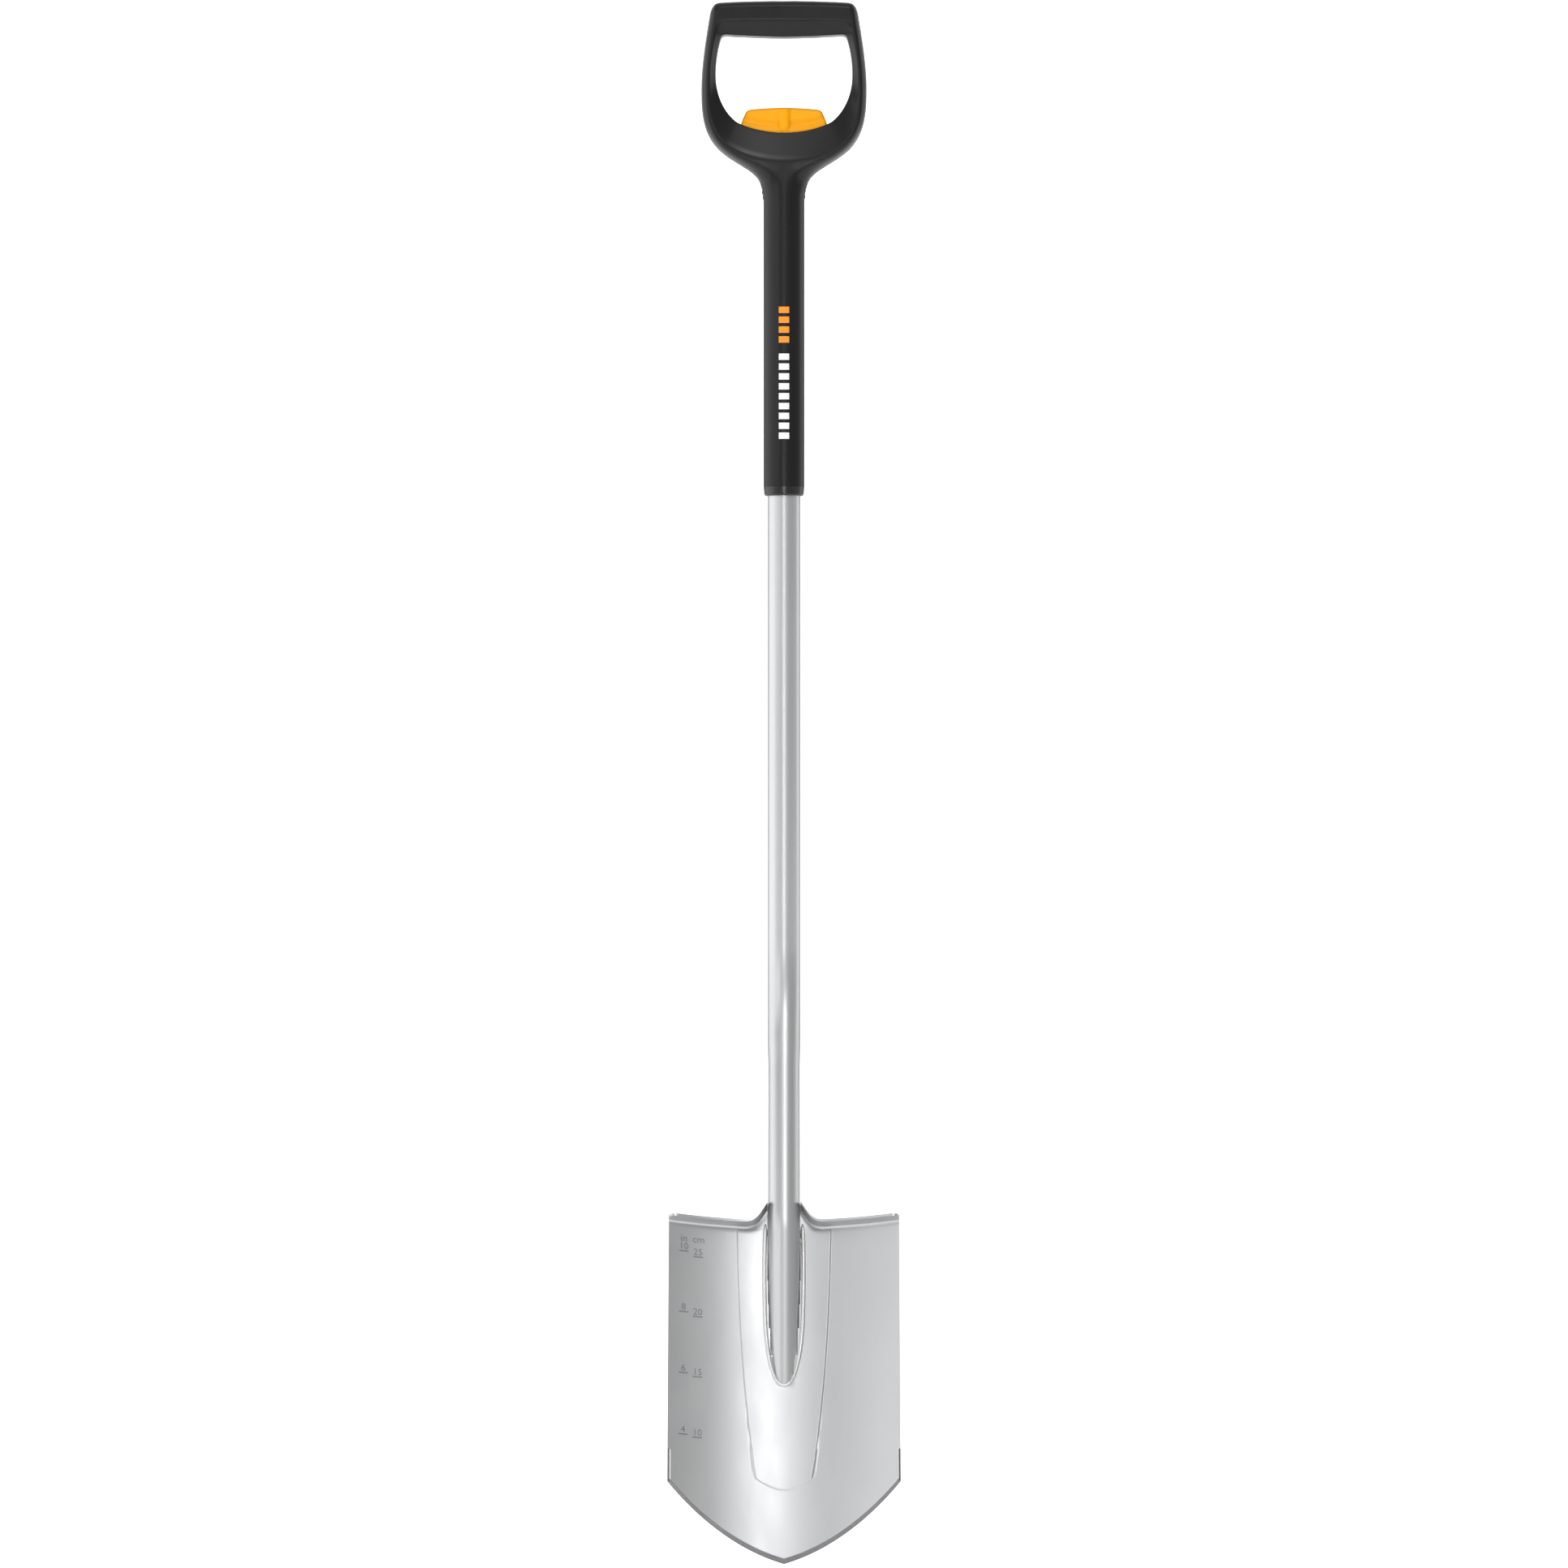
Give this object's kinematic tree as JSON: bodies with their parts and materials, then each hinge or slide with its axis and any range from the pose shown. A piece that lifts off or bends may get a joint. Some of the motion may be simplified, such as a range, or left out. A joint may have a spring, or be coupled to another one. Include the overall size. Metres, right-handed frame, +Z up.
{
  "type": "telescopic digging spade",
  "caption": "Telescopic digging spade: black D-grip with an orange release button, sliding silver shaft with a bend, and a pointed dished blade with folded treads and a depth scale.",
  "frame": {"origin": "middle of the underside of the hand grip, where the spade hangs on a hook", "axes": "+X across the blade, -Y to the front of the blade, +Z up along the shaft"},
  "size_m": [0.184, 0.2067, 1.2502],
  "materials": {
    "grip_plastic": "moulded black plastic, fine grain, soft sheen",
    "collar_plastic": "moulded black plastic, smooth",
    "button_plastic": "moulded orange plastic, satin",
    "shaft_steel": "fine silver coating, satin",
    "blade_steel": "fine silver coating over pressed steel, satin",
    "weld_steel": "silver coated weld",
    "inner_steel": "drawn steel",
    "fastener_steel": "zinc plated",
    "spring_steel": "polished wire and strip",
    "bush_plastic": "natural bearing plastic",
    "inner_plastic": "moulded dark plastic"
  },
  "bodies": {
    "handle": {"grip_front": "grip_plastic", "grip_rear": "grip_plastic", "grip_screws": "fastener_steel", "liner_tube": "inner_steel", "liner_dowels": "fastener_steel", "end_collar": "collar_plastic", "slide_bush": "bush_plastic", "stem_plug": "inner_plastic", "stem": "inner_steel", "stem_pins": "fastener_steel", "latch_block": "inner_plastic", "latch_pins": "fastener_steel", "latch_leaf": "spring_steel", "spring_seat": "fastener_steel", "return_spring": "spring_steel"},
    "release": {"button": "button_plastic", "push_rod": "inner_steel", "rod_pin": "fastener_steel", "release_wedge": "inner_plastic"},
    "shaft": {"shaft_tube": "shaft_steel", "top_bush": "bush_plastic", "bush_rivets": "fastener_steel", "blade": "blade_steel", "socket_weld": "weld_steel"}
  },
  "joints": [
    {"name": "shaft_extend", "type": "slide", "parent": "handle", "child": "shaft", "axis": [0, 0, 1], "range_m": [0, 0.2], "deforming": ["latch_leaf"]},
    {"name": "button_press", "type": "slide", "parent": "handle", "child": "release", "axis": [0, 0, -1], "range_m": [0, 0.008], "stiffness_N_per_m": 800, "springref_m": -0.004, "deforming": ["return_spring"]}
  ]
}
